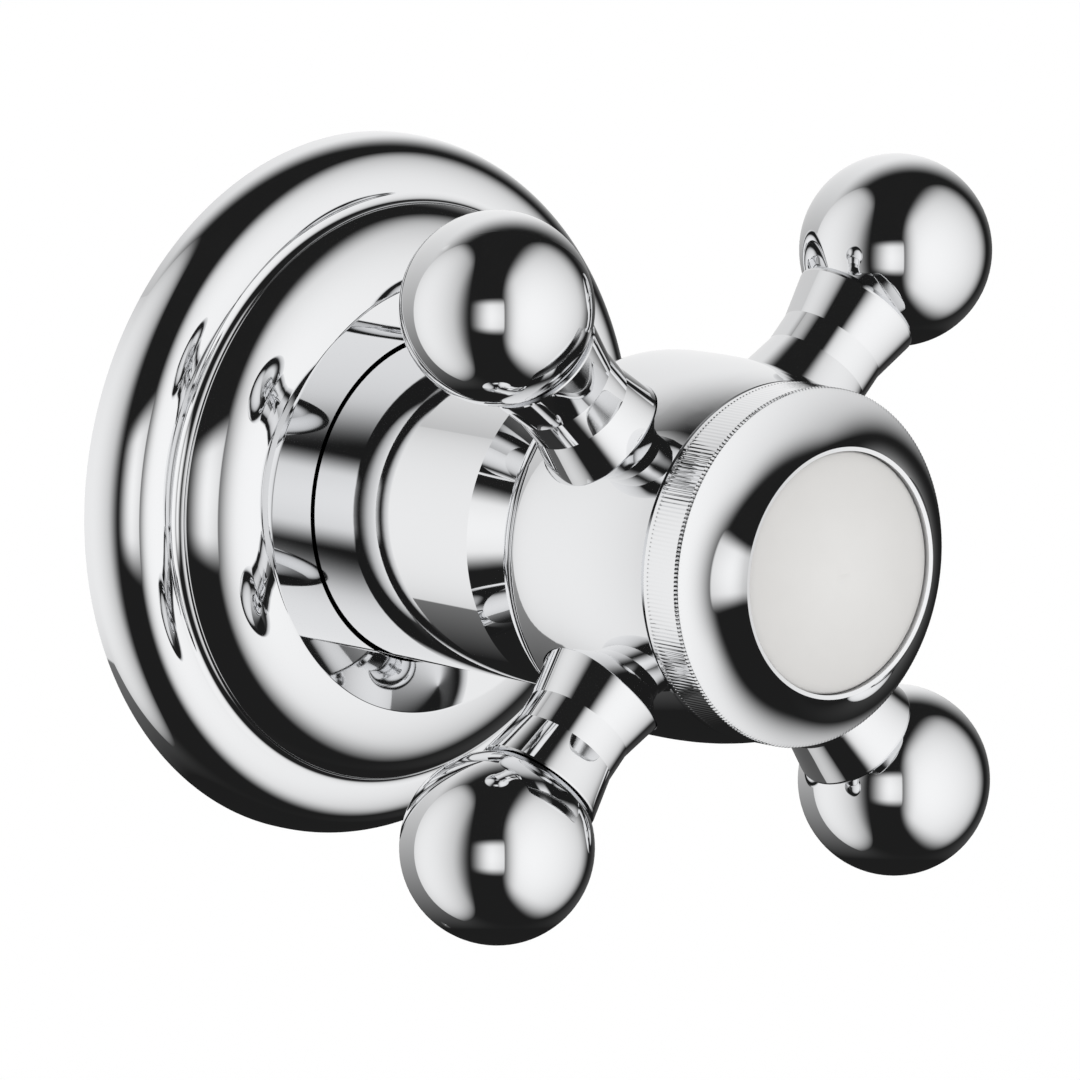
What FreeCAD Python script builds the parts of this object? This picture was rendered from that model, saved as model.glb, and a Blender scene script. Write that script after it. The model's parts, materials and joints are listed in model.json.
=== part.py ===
"""Concealed shower stop valve: stepped wall rosette, sleeve and a cross handle with ball ends,
on a quarter-turn ceramic disc headwork. Millimetres.

The origin is on the wall plane at the centre of the rosette's back rim. The valve axis is Y, the
front of the valve faces -Y and +Z is up. "Forward" below means the distance in front of the wall.
"""

import FreeCAD, Part
import math
import os
from collections import namedtuple

# Rosette
rosette_radius = 32.5
rosette_edge = 0.8
rosette_edge_round = 5.45
rosette_foot_tilt = 13.0
rosette_step_width = 1.68
rosette_step_rise = 1.49
rosette_dome_overrun = 2.50402
rosette_crest_width = 2.8
rosette_flat_width = 4.84
rosette_flat_round = 1.5
rosette_wall = 1.8
rosette_rim_width = 1.6
seal_width = 2.3
seal_thickness = 2.0

# Sleeve and what holds it
sleeve_radius = 15.0
sleeve_wall = 2.0
sleeve_rear = 3.0
sleeve_shoulder = 32.5
sleeve_taper = 3.0
sleeve_mouth_wall = 1.5
glide_ring_length = 5.0
glide_ring_wall = 1.95
glide_nose_length = 2.7
glide_flange_width = 1.2
glide_flange_thickness = 1.5
adapter_length = 6.5
adapter_slot_width = 2.4
adapter_slot_depth = 1.6
o_ring_section = 1.5

# Handle
handle_gap = 0.3
hub_radius = 17.52
hub_length = 21.4
hub_rear_step = 0.2
hub_back_width = 4.4
hub_back_length = 3.4
hub_rear_flare = 0.75
hub_rear_flare_length = 1.4
hub_rear_swell = 4.55
hub_front_swell = 2.45
hub_front_flare = 1.04
hub_front_flare_length = 4.0
hub_web = 4.0
hub_web_setback = 10.7
hub_rear_pocket = 3.7
hub_front_pocket_radius = 9.0
arm_count = 4
arm_setback = 11.25
ball_radius = 8.79
ball_reach = 34.67
spool_root_radius = 5.96
spool_waist_radius = 5.03
spool_waist_length = 2.8
spool_rim_radius = 5.87
spool_rim_width = 0.6
spool_rim_flat = 0.2
arm_sink = 1.02
arm_stud_radius = 3.0
arm_stud_length = 5.5

# Front cap and insert
cap_radius = 16.35
cap_band_length = 4.7
cap_cone_length = 3.95
cap_cone_hollow = 0.27
cap_chamfer = 0.35
cap_thread_radius = 14.0
cap_thread_length = 3.3
cap_lip_bevel = 0.3
insert_radius = 11.02
insert_recess = 0.45
insert_edge_round = 0.3
insert_crown = 1.0
insert_flange_width = 0.9
insert_flange_thickness = 1.8
insert_lip_thickness = 1.7
cushion_section = 1.6

# Spindle drive
spline_teeth = 20
spline_depth = 0.4
extension_radius = 6.3
extension_rear = 17.2
extension_socket_length = 9.4
bush_hex_across = 13.0
bush_length = 6.8
screw_radius = 2.5
screw_head_radius = 4.25
screw_head_height = 3.0
screw_length = 33.0
screw_key_across = 4.0
screw_key_depth = 1.8
washer_thickness = 1.0
washer_radius = 5.5

# Headwork
thread_radius = 10.4775
thread_length = 9.0
thread_rear = -11.0
thread_chamfer = 1.0
relief_radius = 9.5
flange_radius = 12.6
flange_rear = 1.0
flange_thickness = 1.2
hex_across = 21.0
hex_length = 3.8
barrel_radius = 9.0
bonnet_front = 15.0
skirt_radius = 8.75
skirt_rear = -24.0
disc_bore_radius = 7.2
gasket_thickness = 1.5
gasket_radius = 12.4
spindle_radius = 4.0
spindle_nose = 26.2
spindle_seal_pitch = 4.5
spindle_seal_forward = 5.0
spindle_seal_section = 1.24
shoulder_radius = 5.4
shoulder_rear = -8.0
shoulder_thickness = 3.2
slip_washer_thickness = 0.8
stop_lug_angle = 80.0
stop_travel = 90.0
stop_spare_angle = 1.0
circlip_thickness = 0.9
circlip_radius = 5.6
circlip_depth = 0.8
circlip_gap_angle = 70.0
tang_length = 9.0
tang_width = 4.0
tang_depth = 5.4
rotating_disc_front = -11.5
rotating_disc_thickness = 5.0
fixed_disc_thickness = 4.0
port_inner_radius = 2.2
port_outer_radius = 5.8
port_angle = 80.0
notch_depth = 2.3
key_width = 3.0
key_height = 0.8
window_width = 8.0
seat_seal_proud = 0.5

# Clearances
running_clearance = 0.05
seat_clearance = 0.03
loose_clearance = 0.25

# How far a cutting shape runs past the face that it opens
overcut = 1.0

# Stations along the valve axis, forward of the wall
step_foot = rosette_edge + rosette_edge_round * math.cos(math.radians(rosette_foot_tilt))
step_front = step_foot + rosette_step_rise
boss_rear = rosette_edge + rosette_edge_round - rosette_wall
sleeve_front = sleeve_shoulder + sleeve_taper
collar_rear = sleeve_front - glide_ring_length
hub_rear = sleeve_front + handle_gap
pocket_front = hub_rear + hub_rear_pocket
arm_plane = hub_rear + arm_setback
hub_front = hub_rear + hub_length
web_rear = hub_rear + hub_web_setback
web_front = web_rear + hub_web
under_head = web_front + washer_thickness
spigot_front = hub_front + cap_thread_length
cap_edge = hub_front + cap_band_length
cap_front = cap_edge + cap_cone_length
lip_rear = cap_front - insert_lip_thickness
insert_rear = lip_rear - insert_flange_thickness
bush_rear = web_rear - bush_length
shoulder_front = shoulder_rear + shoulder_thickness
bonnet_shoulder = shoulder_front + slip_washer_thickness
flange_front = flange_rear + flange_thickness
hex_front = flange_front + hex_length
spline_rear = extension_rear - loose_clearance
rotating_disc_rear = rotating_disc_front - rotating_disc_thickness
fixed_disc_rear = rotating_disc_rear - fixed_disc_thickness

# Radii from the valve axis
edge_crown_radius = rosette_radius - rosette_edge_round
step_foot_radius = edge_crown_radius + rosette_edge_round * math.sin(math.radians(rosette_foot_tilt))
step_radius = step_foot_radius - rosette_step_width
crest_radius = sleeve_radius + rosette_crest_width
flat_radius = sleeve_radius + rosette_flat_width
# The upper tier's arc would stand upright a little outside the step if it went on.
dome_round = step_radius + rosette_dome_overrun - crest_radius
neck_radius = sleeve_radius + loose_clearance
sleeve_bore = sleeve_radius - sleeve_wall
sleeve_front_radius = sleeve_radius - sleeve_taper
mouth_radius = sleeve_front_radius - sleeve_mouth_wall
glide_bore = extension_radius + loose_clearance
glide_nose_radius = glide_bore + glide_ring_wall
hub_pocket_radius = glide_nose_radius + running_clearance
hub_rear_radius = sleeve_front_radius + hub_rear_step
hub_back_radius = hub_rear_radius + hub_back_width
hub_front_radius = cap_radius
insert_flange_radius = insert_radius + insert_flange_width

# Where an arm's seat lies along the arm, from the valve axis
arm_seat_reach = hub_radius - arm_sink

Arc = namedtuple("Arc", "radius forward")
Curve = namedtuple("Curve", "first second")
axis_point = FreeCAD.Vector(0, 0, 0)
forward_axis = FreeCAD.Vector(0, -1, 0)


def at(radius, forward):
    """The point at a radius from the valve axis and a distance forward of the wall."""
    return FreeCAD.Vector(radius, -forward, 0)


def edge_between(start, bend, end):
    """A straight edge, an arc through a point or a curve with two handles."""
    if isinstance(bend, Arc):
        return Part.Arc(start, at(*bend), end).toShape()
    if isinstance(bend, Curve):
        curve = Part.BezierCurve()
        curve.setPoles([start, at(*bend.first), at(*bend.second), end])
        return curve.toShape()
    return Part.LineSegment(start, end).toShape()


def turned(*stations, sweep=360.0, middle=None):
    """Revolves a closed outline of (radius, forward) stations, bent where an Arc or Curve stands between
    two of them. A part turn is centred on the angle middle, counted from +X towards +Z."""
    edges = []
    start = None
    bend = None
    for station in stations + stations[:1]:
        if isinstance(station, (Arc, Curve)):
            bend = station
            continue
        end = at(*station)
        if start is not None:
            edges.append(edge_between(start, bend, end))
        start = end
        bend = None
    solid = Part.Face(Part.Wire(edges)).revolve(axis_point, forward_axis, sweep)
    if middle is not None:
        solid.rotate(axis_point, forward_axis, middle - sweep / 2)
    return solid


def ring(inner, outer, rear, front, **part_turn):
    """A plain ring, or a sector of one."""
    return turned((inner, rear), (outer, rear), (outer, front), (inner, front), **part_turn)


def o_ring(inner, section, middle):
    """A round-section ring."""
    return Part.makeTorus(inner + section / 2, section / 2, at(0, middle), forward_axis)


def prism(corners, rear, front):
    """A straight prism on the valve axis from (x, z) corners."""
    points = [FreeCAD.Vector(x, -rear, z) for x, z in corners]
    face = Part.Face(Part.makePolygon(points + points[:1]))
    return face.extrude(forward_axis * (front - rear))


def bar(length, width, rear, front):
    """A rectangular bar across the axis, its length along X."""
    x = length / 2
    z = width / 2
    return prism([(-x, -z), (x, -z), (x, z), (-x, z)], rear, front)


def polar(radius, angle):
    return (radius * math.cos(math.radians(angle)), radius * math.sin(math.radians(angle)))


def hexagon(across, rear, front):
    corner = across / math.sqrt(3)
    return prism([polar(corner, 60 * i) for i in range(6)], rear, front)


def spline(spare, rear, front):
    """The serrated spline of the spindle, or with spare its socket."""
    corners = []
    for i in range(2 * spline_teeth):
        radius = spindle_radius + spare - spline_depth * (i % 2)
        corners.append(polar(radius, 180 * i / spline_teeth))
    return prism(corners, rear, front)


def along_arm(shape, number):
    """Turns a shape made on the valve axis into one arm's place, its forward direction outwards."""
    x, z = polar(1, 360 / arm_count * (number + 0.5))
    shape = shape.copy()
    turn = FreeCAD.Rotation(forward_axis, FreeCAD.Vector(x, 0, z))
    shape.Placement = FreeCAD.Placement(at(0, arm_plane), turn)
    return shape


def dome(radius, depth=0):
    """Forward place of the rosette's upper tier at a radius, or of the arc that lies depth under it."""
    middle = step_front - math.sqrt(dome_round**2 - (step_radius - crest_radius) ** 2)
    return middle + math.sqrt((dome_round - depth) ** 2 - (radius - crest_radius) ** 2)


def top_forward():
    """Forward place of the flat ring that the upper tier rounds into."""
    return dome(flat_radius, rosette_flat_round) + rosette_flat_round


def rosette():
    """Two tiers: a quarter round up to a short slope, and above it a rounded ring with a flat top."""
    bend = math.radians((90 + rosette_foot_tilt) / 2)
    bend_radius = edge_crown_radius + rosette_edge_round * math.sin(bend)
    bend_forward = rosette_edge + rosette_edge_round * math.cos(bend)
    # The tier's arc passes into the flat's round where both have the same tilt.
    tilt = math.asin((flat_radius - crest_radius) / (dome_round - rosette_flat_round))
    round_radius = crest_radius + dome_round * math.sin(tilt)
    tier_middle = (step_radius + round_radius) / 2
    round_middle = flat_radius + rosette_flat_round * math.sin(tilt / 2)
    round_forward = top_forward() - rosette_flat_round * (1 - math.cos(tilt / 2))
    seat_radius = rosette_radius - rosette_rim_width
    seat_inner = seat_radius - seal_width - loose_clearance
    step_inner = step_radius - rosette_wall
    boss_radius = neck_radius + o_ring_section + rosette_wall
    inner_middle = (boss_radius + step_inner) / 2
    groove_radius = sleeve_radius + o_ring_section + 2 * seat_clearance
    groove_rear = groove_middle() - o_ring_section / 2 - seat_clearance
    groove_front = groove_middle() + o_ring_section / 2 + seat_clearance
    return turned(
        (rosette_radius, 0),
        (rosette_radius, rosette_edge),
        Arc(bend_radius, bend_forward),
        (step_foot_radius, step_foot),
        (step_radius, step_front),
        Arc(tier_middle, dome(tier_middle)),
        (round_radius, dome(round_radius)),
        Arc(round_middle, round_forward),
        (flat_radius, top_forward()),
        (neck_radius, top_forward()),
        (neck_radius, groove_front),
        (groove_radius, groove_front),
        (groove_radius, groove_rear),
        (neck_radius, groove_rear),
        (neck_radius, boss_rear),
        (boss_radius, boss_rear),
        (boss_radius, dome(boss_radius, rosette_wall)),
        Arc(inner_middle, dome(inner_middle, rosette_wall)),
        (step_inner, dome(step_inner, rosette_wall)),
        (step_inner, boss_rear),
        (seat_inner, boss_rear),
        (seat_inner, seal_thickness),
        (seat_radius, seal_thickness),
        (seat_radius, 0),
    )


def groove_middle():
    """Forward place of the groove in the rosette's neck."""
    return (boss_rear + top_forward()) / 2


def rosette_seal():
    """Foam ring in the rosette's rim, pressed almost level with it by the wall."""
    outer = rosette_radius - rosette_rim_width - seat_clearance
    return ring(outer - seal_width, outer, 2 * seat_clearance, seal_thickness)


def rosette_o_ring():
    return o_ring(sleeve_radius + seat_clearance, o_ring_section, groove_middle())


def sleeve():
    """Tube with a conical front. A collar inside the front holds the glide ring."""
    return turned(
        (sleeve_bore, sleeve_rear),
        (sleeve_radius, sleeve_rear),
        (sleeve_radius, sleeve_shoulder),
        (sleeve_front_radius, sleeve_front),
        (mouth_radius, sleeve_front),
        (mouth_radius, collar_rear),
        (sleeve_bore, collar_rear),
    )


def sleeve_adapter():
    """Ring screwed on the headwork's barrel, with two slots for a pin spanner."""
    rear = hex_front + loose_clearance
    front = rear + adapter_length
    body = ring(barrel_radius + seat_clearance, sleeve_bore - seat_clearance, rear, front)
    return body.cut(bar(2 * sleeve_bore, adapter_slot_width, front - adapter_slot_depth, front + overcut))


def glide_ring():
    """Guide pushed into the sleeve's collar from behind. Its nose runs in the hub's rear pocket."""
    outer = mouth_radius - seat_clearance
    flange = mouth_radius + glide_flange_width
    nose_front = sleeve_front + glide_nose_length
    return turned(
        (glide_bore, collar_rear - glide_flange_thickness),
        (flange, collar_rear - glide_flange_thickness),
        (flange, collar_rear),
        (outer, collar_rear),
        (outer, sleeve_front),
        (glide_nose_radius, sleeve_front),
        (glide_nose_radius, nose_front),
        (glide_bore, nose_front),
    )


def ball_rear(radius):
    """Reach of the ball's inner half at a radius from the arm's axis."""
    return ball_reach - math.sqrt(ball_radius**2 - radius**2)


def arm_profile():
    """Spool of three straight turned bands with a rim, a ball end and a stud for the hub."""
    rim_start = ball_rear(spool_rim_radius) - spool_rim_width
    groove_radius = spool_rim_radius - spool_rim_width
    waist = (arm_seat_reach + rim_start) / 2
    stud_end = arm_seat_reach - arm_stud_length
    return turned(
        (0, stud_end),
        (arm_stud_radius, stud_end),
        (arm_stud_radius, arm_seat_reach),
        (spool_root_radius, arm_seat_reach),
        (spool_waist_radius, waist - spool_waist_length / 2),
        (spool_waist_radius, waist + spool_waist_length / 2),
        (spool_rim_radius, rim_start),
        (spool_rim_radius, rim_start + spool_rim_flat),
        (groove_radius, ball_rear(groove_radius)),
        Arc(ball_radius, ball_reach),
        (0, ball_reach + ball_radius),
    )


def hub_arm_seat():
    """Spot face and blind hole that take one arm."""
    spot = spool_root_radius + seat_clearance
    hole = arm_stud_radius + seat_clearance
    hole_end = arm_seat_reach - arm_stud_length - loose_clearance
    return turned(
        (0, hole_end),
        (hole, hole_end),
        (hole, arm_seat_reach),
        (spot, arm_seat_reach),
        (spot, hub_radius + overcut),
        (0, hub_radius + overcut),
    )


def handle_hub():
    """Barrel on a conical back, widest in the arms' plane, with a spigot for the cap and a web inside."""
    screw_hole = screw_radius + loose_clearance
    back_front = hub_rear + hub_back_length
    rear_swell = Curve(
        (hub_back_radius + hub_rear_flare, back_front + hub_rear_flare_length),
        (hub_radius, arm_plane - hub_rear_swell),
    )
    front_swell = Curve(
        (hub_radius, arm_plane + hub_front_swell),
        (hub_front_radius + hub_front_flare, hub_front - hub_front_flare_length),
    )
    body = turned(
        (hub_pocket_radius, hub_rear),
        (hub_rear_radius, hub_rear),
        (hub_back_radius, back_front),
        rear_swell,
        (hub_radius, arm_plane),
        front_swell,
        (hub_front_radius, hub_front),
        (cap_thread_radius, hub_front),
        (cap_thread_radius, spigot_front),
        (hub_front_pocket_radius, spigot_front),
        (hub_front_pocket_radius, web_front),
        (screw_hole, web_front),
        (screw_hole, pocket_front),
        (hub_pocket_radius, pocket_front),
    )
    cuts = [hexagon(bush_hex_across + 2 * seat_clearance, pocket_front - overcut, web_rear)]
    for number in range(arm_count):
        cuts.append(along_arm(hub_arm_seat(), number))
    return body.cut(cuts)


def knurled_cap():
    """Front ring with a hollow cone face. Its lip keeps the insert in from the front."""
    lip = insert_radius + seat_clearance
    lip_edge = lip + cap_lip_bevel
    hollow = ((cap_radius + lip_edge) / 2 - cap_cone_hollow, (cap_edge + cap_front) / 2 - cap_cone_hollow)
    thread = cap_thread_radius + seat_clearance
    recess = insert_flange_radius + seat_clearance
    return turned(
        (thread, hub_front),
        (cap_radius - cap_chamfer, hub_front),
        (cap_radius, hub_front + cap_chamfer),
        (cap_radius, cap_edge),
        Arc(*hollow),
        (lip_edge, cap_front),
        (lip, cap_front),
        (lip, lip_rear),
        (recess, lip_rear),
        (recess, spigot_front + loose_clearance),
        (thread, spigot_front + loose_clearance),
    )


def porcelain_insert():
    """Domed button with a rounded rim, sunk below the cap's lip, which holds its flange."""
    rim = cap_front - insert_recess
    crown = rim + insert_crown
    dome_radius = insert_radius - insert_edge_round
    # The dome leaves the rim on the arc through the crown, halfway out on the same sphere.
    sphere = (dome_radius**2 + insert_crown**2) / (2 * insert_crown)
    half = dome_radius / 2
    half_forward = crown - sphere + math.sqrt(sphere**2 - half**2)
    bend = insert_edge_round * (1 - math.sqrt(0.5))
    return turned(
        (0, insert_rear),
        (insert_flange_radius, insert_rear),
        (insert_flange_radius, lip_rear),
        (insert_radius, lip_rear),
        (insert_radius, rim - insert_edge_round),
        Arc(insert_radius - bend, rim - bend),
        (dome_radius, rim),
        Arc(half, half_forward),
        (0, crown),
    )


def insert_o_ring():
    """Cushion between the hub's spigot and the insert's back."""
    middle = (spigot_front + insert_rear) / 2
    section = min(cushion_section, insert_rear - spigot_front)
    return o_ring(hub_front_pocket_radius + loose_clearance, section, middle)


def spindle_extension():
    """Coupling with the spindle's spline socket behind and the same spline in front."""
    bore = screw_radius + loose_clearance
    socket_end = extension_rear + extension_socket_length
    body = ring(bore, extension_radius, extension_rear, bush_rear)
    nose = spline(0, bush_rear, web_rear - loose_clearance)
    nose = nose.cut(ring(0, bore, bush_rear - overcut, web_rear))
    socket = spline(running_clearance, extension_rear - overcut, socket_end)
    return body.fuse(nose).cut(socket).removeSplitter()


def spline_bush():
    """Hexagonal plastic bush between the coupling's spline and the hub."""
    socket = spline(running_clearance, bush_rear - overcut, web_rear + overcut)
    return hexagon(bush_hex_across, bush_rear, web_rear).cut(socket)


def handle_screw():
    """Socket head screw through hub and coupling into the spindle's nose."""
    top = under_head + screw_head_height
    body = turned(
        (0, under_head - screw_length),
        (screw_radius, under_head - screw_length),
        (screw_radius, under_head),
        (screw_head_radius, under_head),
        (screw_head_radius, top),
        (0, top),
    )
    return body.cut(hexagon(screw_key_across, top - screw_key_depth, top + overcut))


def screw_washer():
    return ring(screw_radius + loose_clearance, washer_radius, web_front, under_head)


def seal_places():
    """Forward places of the spindle's two seals."""
    return [spindle_seal_forward, spindle_seal_forward + spindle_seal_pitch]


def seal_groove_radius():
    return spindle_radius - spindle_seal_section + running_clearance / 2


def spindle():
    """Shaft with two seal grooves, a clip groove, the stop's lug and a tang for the upper disc."""
    hole = screw_radius + seat_clearance
    hole_end = under_head - screw_length - loose_clearance
    shaft = ring(0, spindle_radius, shoulder_rear, spline_rear)
    shoulder = ring(0, shoulder_radius, shoulder_rear, shoulder_front)
    reach = disc_bore_radius - loose_clearance
    lug = ring(0, reach, shoulder_rear, shoulder_front, sweep=stop_lug_angle, middle=0)
    tang = bar(tang_length, tang_width, shoulder_rear - tang_depth, shoulder_rear)
    nose = spline(0, spline_rear, spindle_nose)
    body = shaft.fuse([shoulder, lug, tang, nose]).removeSplitter()
    cuts = [ring(0, hole, hole_end, spindle_nose + overcut)]
    half = spindle_seal_section / 2 + seat_clearance
    for place in seal_places():
        cuts.append(ring(seal_groove_radius(), spindle_radius + overcut, place - half, place + half))
    clip_rear = bonnet_front + loose_clearance - seat_clearance
    clip_front = bonnet_front + loose_clearance + circlip_thickness + seat_clearance
    cuts.append(ring(spindle_radius - circlip_depth, spindle_radius + overcut, clip_rear, clip_front))
    return body.cut(cuts)


def spindle_o_rings():
    inner = seal_groove_radius() + running_clearance / 4
    section = spindle_seal_section - running_clearance / 2
    return Part.makeCompound([o_ring(inner, section, place) for place in seal_places()])


def spindle_circlip():
    """Open clip in the spindle's groove, just clear of the bonnet's front."""
    rear = bonnet_front + loose_clearance
    inner = spindle_radius - circlip_depth + seat_clearance
    sweep = 360 - circlip_gap_angle
    return ring(inner, circlip_radius, rear, rear + circlip_thickness, sweep=sweep, middle=90)


def bonnet():
    """Headwork body: disc skirt, wall thread, flange, hexagon and barrel, with the turn stop inside."""
    thread_front = thread_rear + thread_length
    bore = spindle_radius + running_clearance
    body = turned(
        (disc_bore_radius, skirt_rear),
        (skirt_radius, skirt_rear),
        (skirt_radius, thread_rear),
        (thread_radius - thread_chamfer, thread_rear),
        (thread_radius, thread_rear + thread_chamfer),
        (thread_radius, thread_front),
        (relief_radius, thread_front),
        (relief_radius, flange_rear),
        (flange_radius, flange_rear),
        (flange_radius, flange_front),
        (barrel_radius, flange_front),
        (barrel_radius, bonnet_front),
        (bore, bonnet_front),
        (bore, bonnet_shoulder),
        (disc_bore_radius, bonnet_shoulder),
    )
    spanner = hexagon(hex_across, flange_front, hex_front)
    spanner = spanner.cut(ring(0, barrel_radius, flange_front, hex_front))
    stop = ring(
        shoulder_radius + loose_clearance,
        disc_bore_radius,
        shoulder_rear,
        bonnet_shoulder,
        sweep=360 - stop_lug_angle - stop_travel - 2 * stop_spare_angle,
        middle=180 + stop_travel / 2,
    )
    body = body.fuse([spanner, stop]).removeSplitter()
    notch_front = rotating_disc_rear + notch_depth
    window = bar(2 * (skirt_radius + overcut), window_width, rotating_disc_rear, notch_front)
    keyway_height = 2 * (disc_bore_radius + key_height + loose_clearance)
    keyway = bar(key_width + loose_clearance, keyway_height, skirt_rear - overcut, rotating_disc_rear)
    return body.cut([window, keyway])


def bonnet_gasket():
    return ring(relief_radius + seat_clearance, gasket_radius, flange_rear - gasket_thickness, flange_rear)


def slip_washer():
    return ring(spindle_radius + running_clearance, shoulder_radius, shoulder_front, bonnet_shoulder)


def rotating_disc():
    """Upper ceramic disc: a slot for the tang in front, two notches open to its rim behind."""
    outer = disc_bore_radius - running_clearance
    body = ring(0, outer, rotating_disc_rear, rotating_disc_front)
    slot_rear = shoulder_rear - tang_depth - loose_clearance
    spare = 2 * running_clearance
    cuts = [bar(tang_length + spare, tang_width + spare, slot_rear, rotating_disc_front + overcut)]
    for middle in (90, 270):
        cuts.append(
            ring(
                port_inner_radius,
                outer + overcut,
                rotating_disc_rear - overcut,
                rotating_disc_rear + notch_depth,
                sweep=port_angle,
                middle=middle,
            )
        )
    return body.cut(cuts)


def fixed_disc():
    """Lower ceramic disc with two ports and two keys in the skirt's keyways."""
    body = ring(0, disc_bore_radius - running_clearance, fixed_disc_rear, rotating_disc_rear)
    keys = bar(key_width, 2 * (disc_bore_radius + key_height), fixed_disc_rear, rotating_disc_rear)
    ports = []
    for middle in (0, 180):
        ports.append(
            ring(
                port_inner_radius,
                port_outer_radius,
                fixed_disc_rear - overcut,
                rotating_disc_rear + overcut,
                sweep=port_angle,
                middle=middle,
            )
        )
    return body.fuse(keys).removeSplitter().cut(ports)


def seat_seal():
    """Rubber ring behind the fixed disc, proud of the skirt so that the valve seat presses it."""
    outer = disc_bore_radius - running_clearance
    return ring(port_outer_radius, outer, skirt_rear - seat_seal_proud, fixed_disc_rear)


def pieces():
    made = {
        "rosette": rosette(),
        "rosette_seal": rosette_seal(),
        "rosette_o_ring": rosette_o_ring(),
        "sleeve": sleeve(),
        "sleeve_adapter": sleeve_adapter(),
        "glide_ring": glide_ring(),
        "bonnet": bonnet(),
        "bonnet_gasket": bonnet_gasket(),
        "slip_washer": slip_washer(),
        "fixed_disc": fixed_disc(),
        "seat_seal": seat_seal(),
        "handle_hub": handle_hub(),
        "knurled_cap": knurled_cap(),
        "porcelain_insert": porcelain_insert(),
        "insert_o_ring": insert_o_ring(),
        "spindle_extension": spindle_extension(),
        "spline_bush": spline_bush(),
        "handle_screw": handle_screw(),
        "screw_washer": screw_washer(),
        "spindle": spindle(),
        "spindle_o_rings": spindle_o_rings(),
        "spindle_circlip": spindle_circlip(),
        "rotating_disc": rotating_disc(),
    }
    for number, side in enumerate(("upper_right", "upper_left", "lower_left", "lower_right")):
        made["handle_arm_" + side] = along_arm(arm_profile(), number)
    return made


os.makedirs("parts", exist_ok=True)
for name, shape in pieces().items():
    shape.exportStep("parts/" + name + ".step")
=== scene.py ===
import json
import math
from collections import namedtuple

import bpy
from mathutils import Matrix, Vector


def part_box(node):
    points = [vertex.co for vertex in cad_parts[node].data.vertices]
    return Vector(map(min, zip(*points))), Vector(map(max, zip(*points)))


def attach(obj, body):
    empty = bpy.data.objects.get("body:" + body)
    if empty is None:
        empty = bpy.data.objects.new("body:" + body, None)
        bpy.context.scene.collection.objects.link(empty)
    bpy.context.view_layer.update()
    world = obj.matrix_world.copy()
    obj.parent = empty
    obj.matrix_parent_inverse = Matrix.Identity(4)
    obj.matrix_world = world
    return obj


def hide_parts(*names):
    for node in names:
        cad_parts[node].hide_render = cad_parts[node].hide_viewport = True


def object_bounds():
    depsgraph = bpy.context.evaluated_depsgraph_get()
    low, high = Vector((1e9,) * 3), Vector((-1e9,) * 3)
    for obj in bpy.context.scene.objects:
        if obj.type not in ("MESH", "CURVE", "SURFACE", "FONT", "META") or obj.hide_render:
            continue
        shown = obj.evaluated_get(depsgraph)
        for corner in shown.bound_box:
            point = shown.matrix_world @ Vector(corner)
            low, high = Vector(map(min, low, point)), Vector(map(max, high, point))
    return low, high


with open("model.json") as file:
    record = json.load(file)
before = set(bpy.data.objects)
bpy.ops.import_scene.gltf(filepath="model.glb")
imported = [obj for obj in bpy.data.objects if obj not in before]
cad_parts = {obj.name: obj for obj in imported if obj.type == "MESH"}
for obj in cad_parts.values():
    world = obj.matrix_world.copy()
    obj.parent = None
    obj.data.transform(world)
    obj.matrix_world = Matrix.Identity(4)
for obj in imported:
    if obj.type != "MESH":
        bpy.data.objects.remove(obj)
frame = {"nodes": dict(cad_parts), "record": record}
cad_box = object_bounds()

MM = 0.001

# Photo view: the camera stands left of the valve's front and a little above it, far away. Distances
# are in metres, the lens and its sensor in millimetres.
VIEW_LEFT = math.radians(42.4)
VIEW_UP = math.radians(9.92)
VIEW_DISTANCE = 1.7182
VIEW_RIGHT_SHIFT = -0.01425
VIEW_UP_SHIFT = 0.0006
LENS = 634.0
SENSOR = 36.0
CLIP_END = 10.0

FLOOR_DROP = 0.15
FLOOR_RADIUS = 3.0

# Finishes. Colours are linear, scales are in features per metre, and a pair is a range that noise goes
# through. Bumps have a strength from 0 to 1 and a depth in metres.
WHITE = (1, 1, 1, 1)
CLOUD = (0.3, 0.7)
CHROME_TINT = (0.86, 0.865, 0.875)
CHROME_HAZE_SCALE = 400.0
CHROME_ROUGH = (0.015, 0.03)
PORCELAIN_MIDDLE = (0.78, 0.772, 0.758)
# Colour at the porcelain's rim is painted shade: the porcelain is darkened towards its rim.
PORCELAIN_RIM_SHADE = (0.69, 0.68, 0.665)
PORCELAIN_CLOUD = (0.0, 0.12)
PORCELAIN_CLOUD_SCALE = 260.0
PORCELAIN_CLOUD_DETAIL = 4.0
GLAZE_SCALE = 900.0
GLAZE_ROUGH = (0.16, 0.24)
GLAZE_IOR = 1.45
BRASS_DARK = (0.58, 0.40, 0.16)
BRASS_LIGHT = (0.70, 0.52, 0.25)
BRASS_PATCH_SCALE = 120.0
BRASS_MARK_SCALE = 900.0
BRASS_MARK_DETAIL = 2.0
BRASS_MARK_STRETCH = (0.15, 4.0, 0.15)
BRASS_ROUGH = (0.22, 0.34)
BRASS_BUMP = 0.15
RUBBER_DARK = (0.018, 0.018, 0.019)
RUBBER_LIGHT = (0.032, 0.032, 0.033)
RUBBER_PATCH_SCALE = 500.0
RUBBER_GRAIN_SCALE = 3000.0
RUBBER_GLOSS_SCALE = 700.0
RUBBER_ROUGH = (0.5, 0.65)
RUBBER_BUMP = 0.2
FOAM_DARK = (0.11, 0.11, 0.115)
FOAM_LIGHT = (0.18, 0.18, 0.185)
FOAM_CELL_SCALE = 1800.0
FOAM_ROUGH = 0.9
FOAM_BUMP = 0.6
FIBRE_DARK = (0.20, 0.07, 0.045)
FIBRE_LIGHT = (0.33, 0.13, 0.085)
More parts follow.
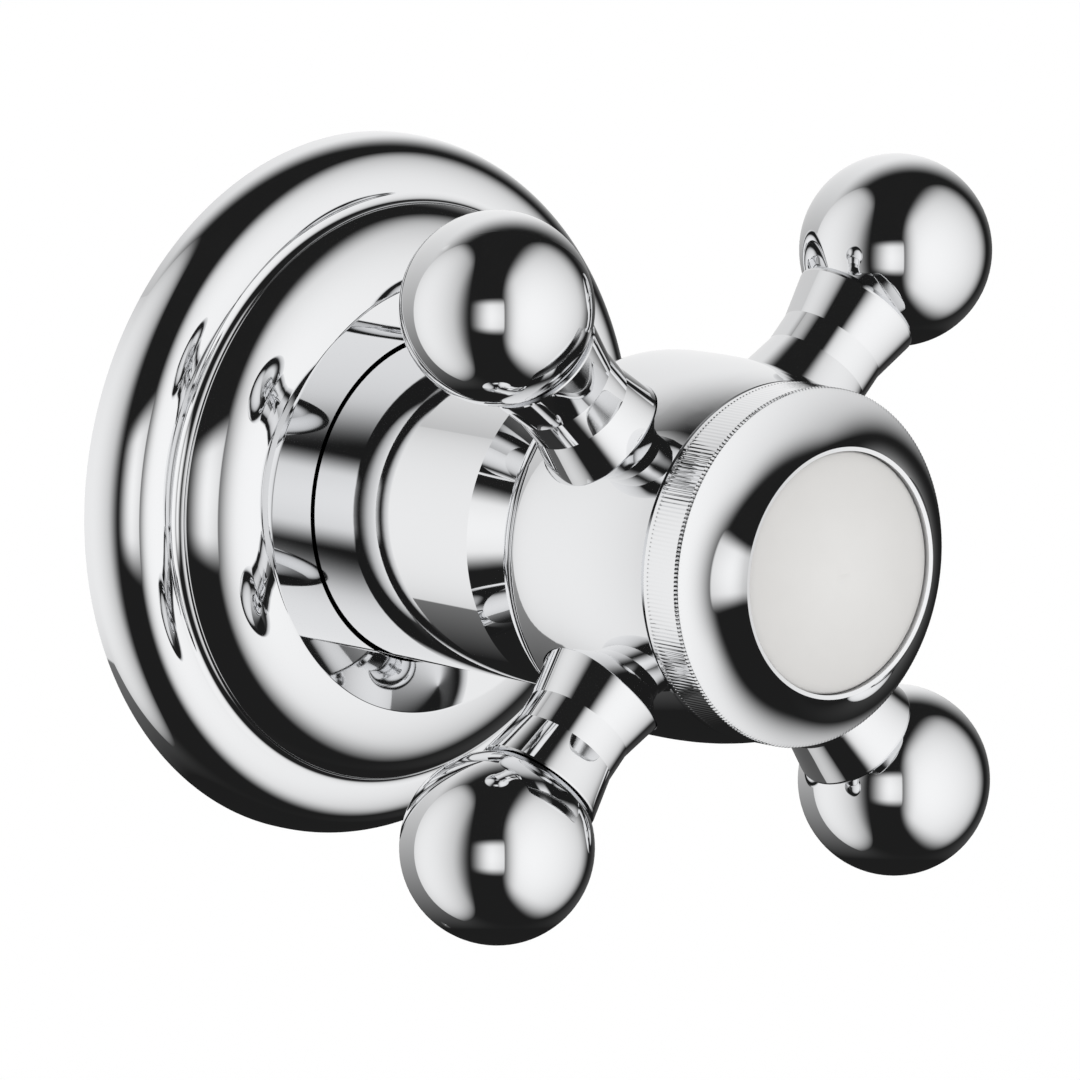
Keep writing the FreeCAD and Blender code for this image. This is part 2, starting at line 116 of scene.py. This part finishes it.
FIBRE_GRAIN_SCALE = 1200.0
FIBRE_GRAIN_STRETCH = (1, 5, 1)
FIBRE_ROUGH = 0.8
FIBRE_BUMP = 0.3
STEEL_TINT = (0.62, 0.62, 0.63)
STEEL_LINE_SCALE = 1500.0
STEEL_LINE_STRETCH = (4, 0.2, 4)
STEEL_ROUGH = (0.2, 0.36)
STEEL_BUMP = 0.1
PLASTIC_DARK = (0.50, 0.51, 0.52)
PLASTIC_LIGHT = (0.56, 0.57, 0.58)
PLASTIC_PATCH_SCALE = 200.0
PLASTIC_GRAIN_SCALE = 2500.0
PLASTIC_ROUGH = (0.42, 0.55)
PLASTIC_BUMP = 0.15
CERAMIC_DARK = (0.76, 0.75, 0.72)
CERAMIC_LIGHT = (0.84, 0.83, 0.80)
CERAMIC_SPECK_SCALE = 1500.0
CERAMIC_GLOSS_SCALE = 600.0
CERAMIC_ROUGH = (0.25, 0.35)
PLAIN_DETAIL = 3.0
FINE_DETAIL = 6.0
FAINT_DEPTH = 0.05 * MM
SHALLOW_DEPTH = 0.1 * MM
CELL_DEPTH = 0.2 * MM

# Studio: the brightness between its lights, and how far a direction must point at a panel to meet it.
STUDIO_DARK = 0.0125
HORIZON = 0.02

# Upright softboxes round the valve. turn is to the right of the camera, in degrees; the places of the
# edges, their softness and the brightest place are in units of the panel's distance, and the brightness
# falls with the square of the way from that place.
Panel = namedtuple("Panel", "turn across across_soft height height_soft peak middle fall")
RIGHT_PANEL = Panel(
    turn=76.7,
    across=(-2.09, 1.36),
    across_soft=(1.02, 0.67),
    height=(-1.86, 1.97),
    height_soft=(0.76, 0.81),
    peak=0.896,
    middle=(-0.67, -0.11),
    fall=(0.148, 0.113),
)
LEFT_PANEL = Panel(
    turn=-77.8,
    across=(-0.756, 0.79),
    across_soft=(0.015, 0.37),
    height=(-2.92, 2.22),
    height_soft=(1.63, 0.69),
    peak=0.808,
    middle=(-0.265, -0.16),
    fall=(0.577, 0.121),
)
FRONT_PANEL = Panel(
    turn=4.6,
    across=(-0.464, 0.081),
    across_soft=(0.313, 0.02),
    height=(-0.332, 0.298),
    height_soft=(0.113, 0.102),
    peak=0.888,
    middle=(-0.3, -0.01),
    fall=(1.49, 1.5),
)
# The light overhead and behind lies outside a circle on a mirror ball that faces the camera, whose
# centre, radius and edge are in radii of that ball. It fades towards the bottom of the ball.
OVERHEAD_CENTRE = (0.168, 0.006)
OVERHEAD_RADIUS = 0.865
OVERHEAD_EDGE = 0.104
OVERHEAD_BOTTOM = -0.83
OVERHEAD_RISE = 1.912
OVERHEAD_PEAK = 0.833

# Knurled cap, in millimetres. Its outer radius, its ends and the insert's seat come from the frame.
KNURL_TEETH = 262
KNURL_STEPS = 8
KNURL_DEPTH = 0.012
KNURL_RUN_OUT = 0.12
KNURL_PIT_DEPTH = 0.27
KNURL_REAR_PIT_DEPTH = 0.06
KNURL_PIT_LENGTH = 0.3
CAP_BAND = 4.7
CAP_REAR_CHAMFER = 0.35
CAP_PLAIN_EDGE = 0.4
CAP_EDGE_ROUND = 0.12
CAP_HOLLOW = 0.27
CAP_LIP_WIDTH = 0.39
CAP_LIP_DROP = 0.09
CAP_LIP_THICKNESS = 1.7
CAP_THREAD_RADIUS = 14.03
CAP_THREAD_LENGTH = 3.55
CAP_SEAT_SPARE = 0.03
INSERT_FLANGE = 0.9
ROUND_STEPS = 4
CONE_STEPS = 16
SHARP = math.radians(20)

# Rosette, in millimetres; its radius, front, seal and ring come from the frame. Each tier is rounded by
# arcs whose ends are given as tilts from the valve axis.
ROSETTE_EDGE = 0.8
ROSETTE_EDGE_ROUND = 5.45
ROSETTE_LEDGE = 6.218
ROSETTE_COVE = 1.0
ROSETTE_RISER_ROUND = 0.3
ROSETTE_RISER_TILT = math.radians(57.4)
ROSETTE_SIDE_ROUND = 8.2
ROSETTE_SIDE_TILT = math.radians(37.4)
ROSETTE_DOME_ROUND = 11.3
ROSETTE_CREST = 17.8
ROSETTE_FLAT = 19.84
ROSETTE_FLAT_ROUND = 1.5
ROSETTE_WALL = 1.8
ROSETTE_NECK = 15.25
ROSETTE_SPARE = 0.03
ARC_STEP = math.radians(2)
ARC_LEAST_STEPS = 2
ROSETTE_TURNS = 360


def view_basis():
    """Right, up and back directions of the photo's camera."""
    back = Vector(
        (
            -math.sin(VIEW_LEFT) * math.cos(VIEW_UP),
            -math.cos(VIEW_LEFT) * math.cos(VIEW_UP),
            math.sin(VIEW_UP),
        )
    )
    right = Vector((math.cos(VIEW_LEFT), -math.sin(VIEW_LEFT), 0))
    return right, back.cross(right), back


class Graph:
    """Short words for a node tree: each call adds one node and returns its output."""

    def __init__(self, tree):
        self.tree = tree
        tree.nodes.clear()

    def add(self, kind, inputs=(), **settings):
        node = self.tree.nodes.new(kind)
        for name, value in settings.items():
            setattr(node, name, value)
        for place, value in dict(inputs).items():
            if isinstance(value, bpy.types.NodeSocket):
                self.tree.links.new(value, node.inputs[place])
            else:
                node.inputs[place].default_value = value
        return node

    def math(self, operation, a, b=0.0, clamp=False):
        node = self.add("ShaderNodeMath", {0: a, 1: b}, operation=operation, use_clamp=clamp)
        return node.outputs[0]

    def dot(self, vector, axis):
        node = self.add("ShaderNodeVectorMath", {0: vector, 1: axis}, operation="DOT_PRODUCT")
        return node.outputs["Value"]

    def ramp(self, value, low, high, start=0.0, end=1.0):
        """Goes smoothly from start to end while value goes from low to high."""
        inputs = {"Value": value, "From Min": low, "From Max": high, "To Min": start, "To Max": end}
        node = self.add("ShaderNodeMapRange", inputs, interpolation_type="SMOOTHSTEP")
        return node.outputs["Result"]

    def product(self, *values):
        result = values[0]
        for value in values[1:]:
            result = self.math("MULTIPLY", result, value)
        return result

    def most(self, *values):
        result = values[0]
        for value in values[1:]:
            result = self.math("MAXIMUM", result, value)
        return result

    def vary(self, value, between):
        """A number in a range, by a cloudy value."""
        return self.ramp(value, *CLOUD, *between)

    def noise(self, scale, detail=PLAIN_DETAIL, stretch=(1, 1, 1)):
        """Cloudy values round a half."""
        place = self.add("ShaderNodeTexCoord").outputs["Object"]
        place = self.add("ShaderNodeMapping", {"Vector": place, "Scale": stretch}).outputs[0]
        node = self.add("ShaderNodeTexNoise", {"Vector": place, "Scale": scale, "Detail": detail})
        return node.outputs["Fac"]

    def cells(self, scale):
        """Distance to the middle of the nearest of many small cells."""
        place = self.add("ShaderNodeTexCoord").outputs["Object"]
        node = self.add("ShaderNodeTexVoronoi", {"Vector": place, "Scale": scale})
        return node.outputs["Distance"]

    def shades(self, value, dark, light):
        """A colour between two, by a cloudy value."""
        return self.between(self.ramp(value, *CLOUD), dark, light)

    def between(self, share, start, end):
        """A colour between two, by a share from 0 to 1."""
        inputs = {0: share, "A": (*start, 1), "B": (*end, 1)}
        return self.add("ShaderNodeMix", inputs, data_type="RGBA").outputs[2]

    def bump(self, height, strength, distance):
        inputs = {"Height": height, "Strength": strength, "Distance": distance}
        return self.add("ShaderNodeBump", inputs).outputs["Normal"]

    def surface(self, inputs):
        shader = self.add("ShaderNodeBsdfPrincipled", inputs)
        self.add("ShaderNodeOutputMaterial", {"Surface": shader.outputs[0]})


def panel_light(g, direction, panel):
    """Brightness of one upright softbox, seen in a direction."""
    right, _, back = view_basis()
    level = Vector((back.x, back.y, 0)).normalized()
    turn = math.radians(panel.turn)
    towards = level * math.cos(turn) + right * math.sin(turn)
    along = right * math.cos(turn) - level * math.sin(turn)
    facing = g.dot(direction, towards)
    depth = g.math("MAXIMUM", facing, HORIZON)
    s = g.math("DIVIDE", g.dot(direction, along), depth)
    t = g.math("DIVIDE", g.dot(direction, (0, 0, 1)), depth)
    shape = [g.math("GREATER_THAN", facing, HORIZON)]
    falls = []
    edges = (panel.across, panel.height)
    softness = (panel.across_soft, panel.height_soft)
    for place, edge, soft, middle, fall in zip((s, t), edges, softness, panel.middle, panel.fall):
        start, end = edge
        start_soft, end_soft = soft
        shape.append(g.ramp(place, start - start_soft, start + start_soft))
        shape.append(g.ramp(place, end - end_soft, end + end_soft, 1.0, 0.0))
        off = g.math("SUBTRACT", place, middle)
        falls.append(g.product(off, off, fall))
    shape.append(g.math("SUBTRACT", 1.0, g.math("ADD", *falls), clamp=True))
    return g.product(*shape, panel.peak)


def overhead_light(g, x, y):
    """Brightness of the light overhead and behind, at a place on the mirror ball."""
    dx = g.math("SUBTRACT", x, OVERHEAD_CENTRE[0])
    dy = g.math("SUBTRACT", y, OVERHEAD_CENTRE[1])
    square = g.math("ADD", g.product(dx, dx), g.product(dy, dy))
    ring = g.math("DIVIDE", g.math("SQRT", square), OVERHEAD_RADIUS)
    height = g.math("DIVIDE", g.math("SUBTRACT", y, OVERHEAD_BOTTOM), OVERHEAD_RISE, clamp=True)
    return g.product(g.ramp(ring, 1 - OVERHEAD_EDGE, 1 + OVERHEAD_EDGE), height, OVERHEAD_PEAK)


def studio_light(g):
    """Brightness of the studio in the direction that a ray leaves in."""
    right, up, back = view_basis()
    direction = g.add("ShaderNodeTexCoord").outputs["Generated"]
    panels = [panel_light(g, direction, panel) for panel in (RIGHT_PANEL, LEFT_PANEL, FRONT_PANEL)]
    away = g.add("ShaderNodeVectorMath", {0: direction, 1: back}, operation="ADD").outputs["Vector"]
    facing = g.add("ShaderNodeVectorMath", {0: away}, operation="NORMALIZE").outputs["Vector"]
    overhead = overhead_light(g, g.dot(facing, right), g.dot(facing, up))
    lit = g.math("ADD", g.most(*panels, overhead), STUDIO_DARK)
    return g.math("DIVIDE", lit, CHROME_TINT[1])


def build_world():
    """White to the camera and as soft light. Mirrors show the softboxes of the studio."""
    world = bpy.data.worlds.new("studio")
    bpy.context.scene.world = world
    world.use_nodes = True
    g = Graph(world.node_tree)
    rays = g.add("ShaderNodeLightPath")
    reflected = g.math("MAXIMUM", rays.outputs["Is Glossy Ray"], rays.outputs["Is Transmission Ray"])
    seen = g.math("MULTIPLY", reflected, g.math("SUBTRACT", studio_light(g), 1.0))
    strength = g.math("ADD", seen, 1.0)
    background = g.add("ShaderNodeBackground", {"Color": WHITE, "Strength": strength})
    g.add("ShaderNodeOutputWorld", {"Surface": background.outputs[0]})


def build_floor():
    """Plain white floor under the valve. Mirrors show the studio in its place."""
    low, _ = cad_box
    level = low[2] - FLOOR_DROP
    mesh = bpy.data.meshes.new("floor")
    corners = [
        (-FLOOR_RADIUS, -FLOOR_RADIUS, level),
        (FLOOR_RADIUS, -FLOOR_RADIUS, level),
        (FLOOR_RADIUS, FLOOR_RADIUS, level),
        (-FLOOR_RADIUS, FLOOR_RADIUS, level),
    ]
    mesh.from_pydata(corners, [], [(0, 1, 2, 3)])
    floor = bpy.data.objects.new("floor", mesh)
    bpy.context.scene.collection.objects.link(floor)
    floor.visible_glossy = False
    material = bpy.data.materials.new("floor")
    material.use_nodes = True
    g = Graph(material.node_tree)
    paint = g.add("ShaderNodeBsdfDiffuse", {"Color": WHITE})
    g.add("ShaderNodeOutputMaterial", {"Surface": paint.outputs[0]})
    mesh.materials.append(material)


def build_camera():
    """Long lens at the photo's angle, aimed at the middle of the handle's arms."""
    right, up, back = view_basis()
    low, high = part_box("handle_arm_upper_left")
    hub = Vector((0, (low.y + high.y) / 2, 0))
    camera = bpy.data.objects.new("camera", bpy.data.cameras.new("camera"))
    bpy.context.scene.collection.objects.link(camera)
    place = hub + VIEW_DISTANCE * back + VIEW_RIGHT_SHIFT * right + VIEW_UP_SHIFT * up
    turn = Matrix((right, up, back)).transposed()
    camera.matrix_world = Matrix.Translation(place) @ turn.to_4x4()
    camera.data.lens = LENS
    camera.data.sensor_width = SENSOR
    camera.data.clip_end = CLIP_END
    bpy.context.scene.camera = camera


def chrome(g):
    """Polished plate: almost a mirror, with faint polishing haze."""
    rough = g.vary(g.noise(CHROME_HAZE_SCALE), CHROME_ROUGH)
    g.surface({"Base Color": (*CHROME_TINT, 1), "Metallic": 1.0, "Roughness": rough})


def porcelain(g):
    """Warm white body under a clear glaze, with shade painted in: a little darker towards its rim."""
    _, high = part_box("porcelain_insert")
    place = g.add("ShaderNodeTexCoord").outputs["Object"]
    across = g.add("ShaderNodeVectorMath", {0: place, 1: (1, 0, 1)}, operation="MULTIPLY").outputs[0]
    away = g.add("ShaderNodeVectorMath", {0: across}, operation="LENGTH").outputs["Value"]
    cloud = g.vary(g.noise(PORCELAIN_CLOUD_SCALE, PORCELAIN_CLOUD_DETAIL), PORCELAIN_CLOUD)
    # Painted shade: the colour goes from the middle colour to the darker rim colour with the distance
    # from the axis, and the cloud adds tone that differs at random.
    share = g.math("ADD", cloud, g.ramp(away, 0.0, high.x), clamp=True)
    colour = g.between(share, PORCELAIN_MIDDLE, PORCELAIN_RIM_SHADE)
    rough = g.vary(g.noise(GLAZE_SCALE), GLAZE_ROUGH)
    g.surface({"Base Color": colour, "Roughness": rough, "IOR": GLAZE_IOR})


def brass(g):
    """Machined brass with fine marks round the axis."""
    marks = g.noise(BRASS_MARK_SCALE, BRASS_MARK_DETAIL, BRASS_MARK_STRETCH)
    colour = g.shades(g.noise(BRASS_PATCH_SCALE), BRASS_DARK, BRASS_LIGHT)
    normal = g.bump(marks, BRASS_BUMP, SHALLOW_DEPTH)
    rough = g.vary(marks, BRASS_ROUGH)
    g.surface({"Base Color": colour, "Metallic": 1.0, "Roughness": rough, "Normal": normal})


def rubber(g):
    """Moulded seal rubber, dull and finely grained."""
    colour = g.shades(g.noise(RUBBER_PATCH_SCALE), RUBBER_DARK, RUBBER_LIGHT)
    normal = g.bump(g.noise(RUBBER_GRAIN_SCALE), RUBBER_BUMP, SHALLOW_DEPTH)
    rough = g.vary(g.noise(RUBBER_GLOSS_SCALE), RUBBER_ROUGH)
    g.surface({"Base Color": colour, "Roughness": rough, "Normal": normal})


def foam(g):
    """Closed-cell foam: small round cells at its surface."""
    cells = g.cells(FOAM_CELL_SCALE)
    colour = g.shades(cells, FOAM_DARK, FOAM_LIGHT)
    normal = g.bump(cells, FOAM_BUMP, CELL_DEPTH)
    g.surface({"Base Color": colour, "Roughness": FOAM_ROUGH, "Normal": normal})


def fibre(g):
    """Pressed red fibre with a matted grain."""
    grain = g.noise(FIBRE_GRAIN_SCALE, FINE_DETAIL, FIBRE_GRAIN_STRETCH)
    colour = g.shades(grain, FIBRE_DARK, FIBRE_LIGHT)
    normal = g.bump(grain, FIBRE_BUMP, SHALLOW_DEPTH)
    g.surface({"Base Color": colour, "Roughness": FIBRE_ROUGH, "Normal": normal})


def steel(g):
    """Drawn stainless steel with fine lines along the axis."""
    lines = g.noise(STEEL_LINE_SCALE, stretch=STEEL_LINE_STRETCH)
    rough = g.vary(lines, STEEL_ROUGH)
    normal = g.bump(lines, STEEL_BUMP, FAINT_DEPTH)
    g.surface({"Base Color": (*STEEL_TINT, 1), "Metallic": 1.0, "Roughness": rough, "Normal": normal})


def plastic(g):
    """Moulded acetal with a fine spark texture."""
    grain = g.noise(PLASTIC_GRAIN_SCALE)
    colour = g.shades(g.noise(PLASTIC_PATCH_SCALE), PLASTIC_DARK, PLASTIC_LIGHT)
    rough = g.vary(grain, PLASTIC_ROUGH)
    normal = g.bump(grain, PLASTIC_BUMP, FAINT_DEPTH)
    g.surface({"Base Color": colour, "Roughness": rough, "Normal": normal})


def ceramic(g):
    """Ground alumina: dense, off-white, faintly speckled."""
    colour = g.shades(g.noise(CERAMIC_SPECK_SCALE, FINE_DETAIL), CERAMIC_DARK, CERAMIC_LIGHT)
    rough = g.vary(g.noise(CERAMIC_GLOSS_SCALE), CERAMIC_ROUGH)
    g.surface({"Base Color": colour, "Roughness": rough})


FINISHES = {
    "chrome_plate": chrome,
    "white_porcelain": porcelain,
    "raw_brass": brass,
    "black_rubber": rubber,
    "seal_foam": foam,
    "fibre_gasket": fibre,
    "stainless_steel": steel,
    "grey_plastic": plastic,
    "alumina_ceramic": ceramic,
}


def build_materials():
    """One node material for each slot of the record."""
    made = {}
    for slot, recipe in FINISHES.items():
        made[slot] = bpy.data.materials.new(slot)
        made[slot].use_nodes = True
        recipe(Graph(made[slot].node_tree))
    return made


def cap_outline():
    """Stations of the cap, from its rear inner edge round: radius, forward and tooth depth in mm."""
    low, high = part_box("knurled_cap")
    _, insert_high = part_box("porcelain_insert")
    radius = high.x / MM
    rear = -high.y / MM
    front = -low.y / MM
    edge = rear + CAP_BAND
    recess = insert_high.x / MM + CAP_SEAT_SPARE
    lip = recess - INSERT_FLANGE
    lip_rear = front - CAP_LIP_THICKNESS
    thread_front = rear + CAP_THREAD_LENGTH
    band_rear = rear + CAP_REAR_CHAMFER + CAP_PLAIN_EDGE
    stations = [
        (CAP_THREAD_RADIUS, rear, 0),
        (radius - CAP_REAR_CHAMFER, rear, 0),
        (radius, rear + CAP_REAR_CHAMFER, 0),
        (radius, band_rear, 0),
        (radius, band_rear + KNURL_RUN_OUT, KNURL_REAR_PIT_DEPTH),
        (radius, band_rear + KNURL_RUN_OUT + KNURL_PIT_LENGTH, KNURL_DEPTH),
    ]
    # The cone face is hollow: a curve from the band's edge to the lip, pressed in at its middle.
    start = Vector((radius, edge))
    end = Vector((lip + CAP_LIP_WIDTH, front))
    press = Vector((-CAP_HOLLOW, -CAP_HOLLOW))
    chord = end - start
    rim = []
    for i in range(CONE_STEPS + 1):
        share = i / CONE_STEPS
        rim.append(start + share * chord + 4 * share * (1 - share) * press)
    # The band's front edge is rounded, and the pits at the teeth's ends run out over the round.
    entry = start + CAP_EDGE_ROUND * (rim[1] - rim[0]).normalized()
    behind = Vector((radius, edge - CAP_EDGE_ROUND))
    stations.append((radius, edge - CAP_EDGE_ROUND - KNURL_PIT_LENGTH, KNURL_DEPTH))
    for i in range(ROUND_STEPS + 1):
        share = i / ROUND_STEPS
        place = (1 - share) ** 2 * behind + 2 * share * (1 - share) * start + share**2 * entry
        stations.append((place.x, place.y, KNURL_PIT_DEPTH * (1 - share**2)))
    stations += [(place.x, place.y, 0) for place in rim[1:]]
    stations += [
        (lip, front - CAP_LIP_DROP, 0),
        (lip, lip_rear, 0),
        (recess, lip_rear, 0),
        (recess, thread_front, 0),
        (CAP_THREAD_RADIUS, thread_front, 0),
    ]
    return stations


def turned_piece(name, stations, count, material):
    """Revolves a closed outline of stations round the axis in count steps."""
    points = []
    for radius, forward, depth in stations:
        for i in range(count):
            angle = 2 * math.pi * i / count
            groove = (1 - math.cos(angle * KNURL_TEETH)) / 2
            r = (radius - depth * groove) * MM
            points.append((r * math.cos(angle), -forward * MM, r * math.sin(angle)))
    faces = []
    rows = len(stations)
    for row in range(rows):
        after = (row + 1) % rows
        for i in range(count):
            beside = (i + 1) % count
            near = (row * count + i, row * count + beside)
            far = (after * count + beside, after * count + i)
            faces.append(near + far)
    mesh = bpy.data.meshes.new(name)
    mesh.from_pydata(points, [], faces)
    mesh.shade_smooth()
    mesh.set_sharp_from_angle(angle=SHARP)
    mesh.materials.append(material)
    piece = bpy.data.objects.new(name, mesh)
    bpy.context.scene.collection.objects.link(piece)
    return piece


def build_cap(material):
    """Turned cap with real knurl teeth and pits at their ends, in place of the plain solid."""
    cap = turned_piece("knurled_cap_turned", cap_outline(), KNURL_TEETH * KNURL_STEPS, material)
    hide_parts("knurled_cap")
    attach(cap, "handle")


def arc(middle, radius, start, end):
    """Plain stations on an arc between two tilts from the forward axis."""
    count = max(ARC_LEAST_STEPS, math.ceil(abs(end - start) / ARC_STEP))
    tilts = [start + (end - start) * i / count for i in range(count + 1)]
    return [(middle.x + radius * math.sin(t), middle.y + radius * math.cos(t), 0) for t in tilts]


def next_middle(middle, radius, tilt, new_radius):
    """Centre of the arc that goes on from another one at a tilt without a corner."""
    return middle + (radius - new_radius) * Vector((math.sin(tilt), math.cos(tilt)))


def rosette_outline():
    """Stations of the rosette, as the cap has, from its rim over its front to its back."""
    low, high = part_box("rosette")
    seal_low, seal_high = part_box("rosette_seal")
    ring_low, ring_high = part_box("rosette_o_ring")
    radius = high.x / MM
    front = -low.y / MM
    quarter = math.pi / 2

    edge_middle = Vector((radius - ROSETTE_EDGE_ROUND, ROSETTE_EDGE))
    ledge_tilt = math.acos((ROSETTE_LEDGE - ROSETTE_EDGE) / ROSETTE_EDGE_ROUND)
    inner_round = ROSETTE_DOME_ROUND - ROSETTE_FLAT_ROUND
    flat_tilt = math.asin((ROSETTE_FLAT - ROSETTE_CREST) / inner_round)
    flat_middle = Vector((ROSETTE_FLAT, front - ROSETTE_FLAT_ROUND))
    dome_middle = Vector((ROSETTE_CREST, flat_middle.y - inner_round * math.cos(flat_tilt)))
    side_middle = next_middle(dome_middle, ROSETTE_DOME_ROUND, ROSETTE_SIDE_TILT, ROSETTE_SIDE_ROUND)
    riser_middle = next_middle(side_middle, ROSETTE_SIDE_ROUND, ROSETTE_RISER_TILT, ROSETTE_RISER_ROUND)
    riser = riser_middle.x + ROSETTE_RISER_ROUND
    cove_middle = Vector((riser + ROSETTE_COVE, ROSETTE_LEDGE + ROSETTE_COVE))

    places = [(radius, 0, 0)]
    places += arc(edge_middle, ROSETTE_EDGE_ROUND, quarter, ledge_tilt)
    places += arc(cove_middle, ROSETTE_COVE, 2 * quarter, 3 * quarter)
    places += arc(riser_middle, ROSETTE_RISER_ROUND, quarter, ROSETTE_RISER_TILT)
    places += arc(side_middle, ROSETTE_SIDE_ROUND, ROSETTE_RISER_TILT, ROSETTE_SIDE_TILT)[1:]
    places += arc(dome_middle, ROSETTE_DOME_ROUND, ROSETTE_SIDE_TILT, flat_tilt)[1:]
    places += arc(flat_middle, ROSETTE_FLAT_ROUND, flat_tilt, 0)[1:]

    # Behind the flat: the neck with the groove of its ring, and the hollow that the seal sits in.
    groove = ring_high.x / MM + ROSETTE_SPARE
    groove_front = -ring_low.y / MM + ROSETTE_SPARE
    groove_rear = -ring_high.y / MM - ROSETTE_SPARE
    boss = groove + ROSETTE_WALL
    back = ROSETTE_LEDGE - ROSETTE_WALL
    seat = seal_high.x / MM + ROSETTE_SPARE
    seat_front = -seal_low.y / MM
    under = ROSETTE_DOME_ROUND - ROSETTE_WALL
    inner = riser - ROSETTE_WALL
    under_start = math.asin((boss - ROSETTE_CREST) / under)
    under_end = math.asin((inner - ROSETTE_CREST) / under)
    places += [
        (ROSETTE_NECK, front, 0),
        (ROSETTE_NECK, groove_front, 0),
        (groove, groove_front, 0),
        (groove, groove_rear, 0),
        (ROSETTE_NECK, groove_rear, 0),
        (ROSETTE_NECK, back, 0),
        (boss, back, 0),
    ]
    places += arc(dome_middle, under, under_start, under_end)
    places += [
        (inner, back, 0),
        (seat - ROSETTE_WALL, back, 0),
        (seat - ROSETTE_WALL, seat_front, 0),
        (seat, seat_front, 0),
        (seat, 0, 0),
    ]
    return places


def build_rosette(material):
    """Turned rosette with a cove and a riser between its tiers, in place of the sloped solid."""
    rosette = turned_piece("rosette_turned", rosette_outline(), ROSETTE_TURNS, material)
    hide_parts("rosette")
    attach(rosette, "valve")


def dress_nodes(materials):
    """Gives each CAD node the finish of its slot."""
    for part in frame["record"]["subparts"]:
        node = frame["nodes"][part["node"]]
        node.data.materials.clear()
        node.data.materials.append(materials[part["material_slot"]])


build_world()
build_floor()
build_camera()
materials = build_materials()
dress_nodes(materials)
build_cap(materials["chrome_plate"])
build_rosette(materials["chrome_plate"])

bpy.context.scene.view_settings.view_transform = "Standard"
